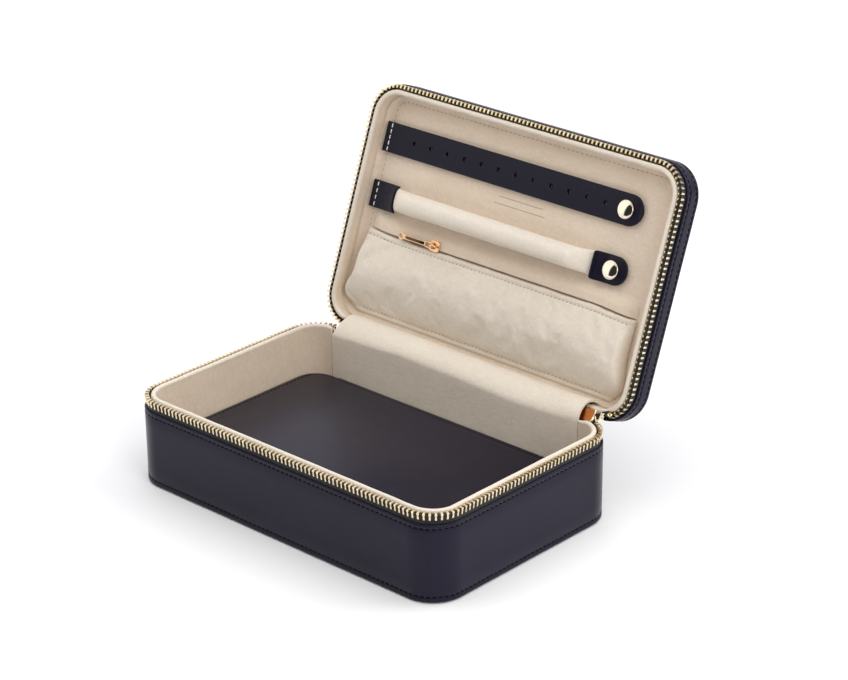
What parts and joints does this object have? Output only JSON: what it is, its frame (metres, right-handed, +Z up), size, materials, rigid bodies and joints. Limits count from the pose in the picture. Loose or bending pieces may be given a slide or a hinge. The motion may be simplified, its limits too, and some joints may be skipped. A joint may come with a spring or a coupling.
{
  "type": "jewellery case",
  "caption": "Zip-round leather jewellery case standing open: suede-lined box with a hinged lid, an earring strap, a ring roll, a zip pouch and a covered lower tray.",
  "frame": {"origin": "centre of the underside of the base, on the plane that it stands on", "axes": "+X along the lid hinge, to the right seen from the front; -Y is the front; +Z up"},
  "size_m": [0.21, 0.1985, 0.1681],
  "materials": {
    "navy_leather": "smooth, lightly polished leather, almost black navy",
    "cream_suede": "soft cream ultrasuede with a short nap",
    "gold_metal": "polished light gold plate",
    "greyboard": "bare pressed card",
    "zip_tape": "black woven zip tape"
  },
  "bodies": {
    "base": {"base_leather_wall": "navy_leather", "base_bottom_panel": "navy_leather", "base_floor_board": "greyboard", "base_wall_board": "greyboard", "base_zip_tape": "zip_tape", "base_zip_teeth": "gold_metal", "base_wall_lining": "cream_suede", "base_rim_piping": "cream_suede", "tray_floor": "cream_suede", "tray_frame": "cream_suede", "tray_divider_left": "cream_suede", "tray_divider_right": "cream_suede", "cover_hinge_strip": "navy_leather", "hinge_spine": "navy_leather", "hinge_gusset": "cream_suede", "main_zip_tail": "gold_metal"},
    "lid": {"lid_leather_wall": "navy_leather", "lid_top_panel": "navy_leather", "lid_top_board": "greyboard", "lid_wall_board": "greyboard", "lid_zip_tape": "zip_tape", "lid_zip_teeth": "gold_metal", "lid_wall_lining": "cream_suede", "lid_rim_piping": "cream_suede", "lid_inner_panel": "cream_suede", "strap_snap_stud": "gold_metal", "roll_snap_stud": "gold_metal", "pouch": "cream_suede", "pouch_zip_tape": "cream_suede", "pouch_zip_teeth": "gold_metal"},
    "cover": {"cover_leather": "navy_leather", "cover_board": "greyboard", "cover_backing": "cream_suede"},
    "strap": {"earring_strap": "navy_leather", "strap_snap_cap": "gold_metal"},
    "roll": {"roll_left_tab": "navy_leather", "ring_roll": "cream_suede", "roll_right_tab": "navy_leather", "roll_snap_cap": "gold_metal"},
    "pouch_slider": {"pouch_zip_slider": "gold_metal"},
    "pouch_pull": {"pouch_zip_pull": "gold_metal"},
    "main_slider": {"main_zip_slider": "gold_metal"},
    "main_pull": {"main_zip_pull": "gold_metal"}
  },
  "joints": [
    {"name": "lid_hinge", "type": "hinge", "parent": "base", "child": "lid", "pos_m": [0, 0.0674, 0.0452], "axis": [-1, 0, 0], "range_deg": [-110.8, 0], "deforming": ["hinge_spine", "hinge_gusset"]},
    {"name": "cover_hinge", "type": "hinge", "parent": "base", "child": "cover", "pos_m": [0, 0.05905, 0.0205], "axis": [-1, 0, 0], "range_deg": [0, 65]},
    {"name": "strap_lift", "type": "hinge", "parent": "lid", "child": "strap", "pos_m": [-0.0969, 0.11489, 0.1398], "axis": [0, -0.3551, -0.9348], "range_deg": [0, 75]},
    {"name": "roll_lift", "type": "hinge", "parent": "lid", "child": "roll", "pos_m": [-0.0969, 0.10374, 0.11045], "axis": [0, -0.3551, -0.9348], "range_deg": [0, 75]},
    {"name": "pouch_slider_slide", "type": "slide", "parent": "lid", "child": "pouch_slider", "axis": [1, 0, 0], "range_m": [-0.03, 0.116]},
    {"name": "pouch_pull_flip", "type": "hinge", "parent": "pouch_slider", "child": "pouch_pull", "pos_m": [-0.044, 0.09442, 0.09548], "axis": [0, 0.3551, 0.9348], "range_deg": [0, 170]},
    {"name": "main_slider_slide", "type": "slide", "parent": "base", "child": "main_slider", "axis": [-1, 0, 0], "range_m": [0, 0.004]},
    {"name": "main_pull_swing", "type": "hinge", "parent": "main_slider", "child": "main_pull", "pos_m": [0.0856, 0.06988, 0.04499], "axis": [1, 0, 0], "range_deg": [0, 50]}
  ]
}
